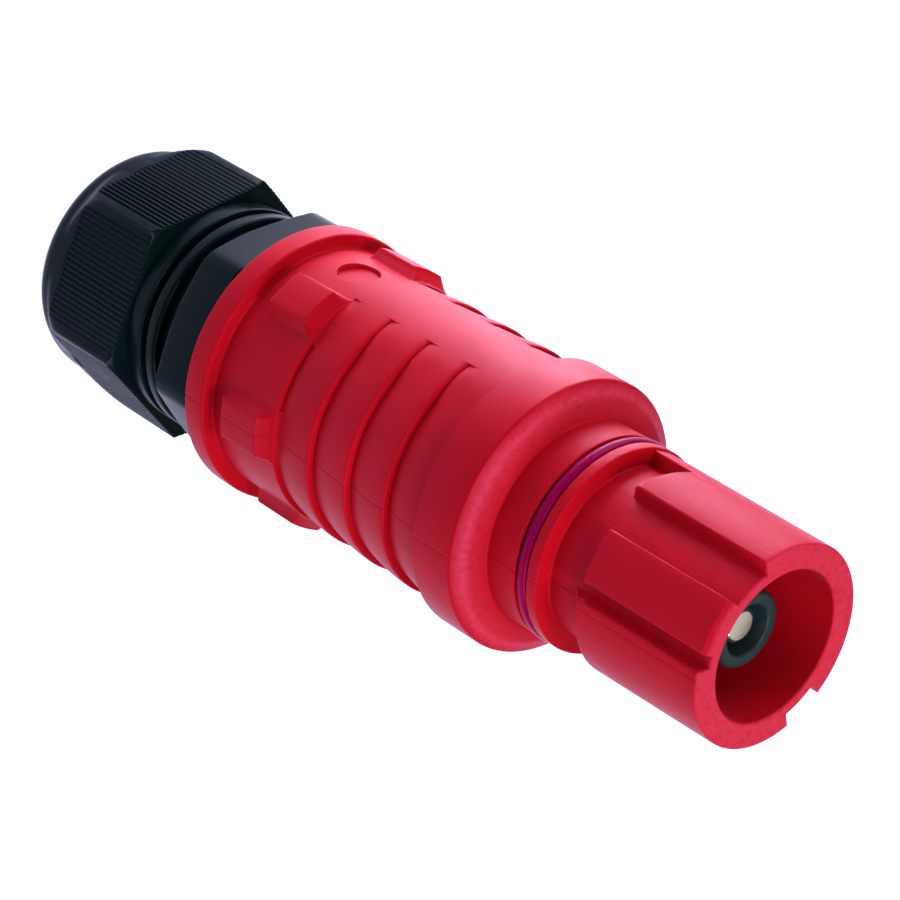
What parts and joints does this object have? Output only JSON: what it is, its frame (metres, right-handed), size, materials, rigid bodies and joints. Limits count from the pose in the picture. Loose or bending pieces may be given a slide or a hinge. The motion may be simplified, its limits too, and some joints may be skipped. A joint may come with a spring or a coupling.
{
  "type": "single pole power connector",
  "caption": "Single pole power connector: bayonet spigot with a guarded pin contact, flared grip shell with coupling lugs, and a ribbed dome-nut cable gland.",
  "frame": {"origin": "centre of the flat rear rim of the gland nut, the face that the connector stands on", "axes": "+Z along the connector's axis, out of the mouth; the smooth panel of the grip and the plain round recess face -Y"},
  "size_m": [0.0632, 0.0632, 0.2059],
  "materials": {
    "red_nylon": "satin moulded glass-filled nylon",
    "seal_rubber": "smooth, slightly glossy",
    "silvered_brass": "silver plated, satin",
    "dark_plastic": "satin",
    "black_rubber": "matte",
    "natural_nylon": "satin",
    "steel": "zinc plated",
    "black_nylon": "satin moulded nylon"
  },
  "bodies": {
    "root": {"shell": "red_nylon", "spigot_o_ring": "seal_rubber", "contact": "silvered_brass", "contact_guard": "dark_plastic", "guard_seal": "black_rubber", "contact_seal": "black_rubber", "contact_carrier": "natural_nylon", "locating_pin": "steel", "retaining_ring": "steel", "set_screws": "steel", "gland_body": "black_nylon", "gland_gasket": "black_rubber", "gland_seal": "black_rubber", "slip_ring": "natural_nylon", "gland_nut": "black_nylon"}
  },
  "joints": []
}
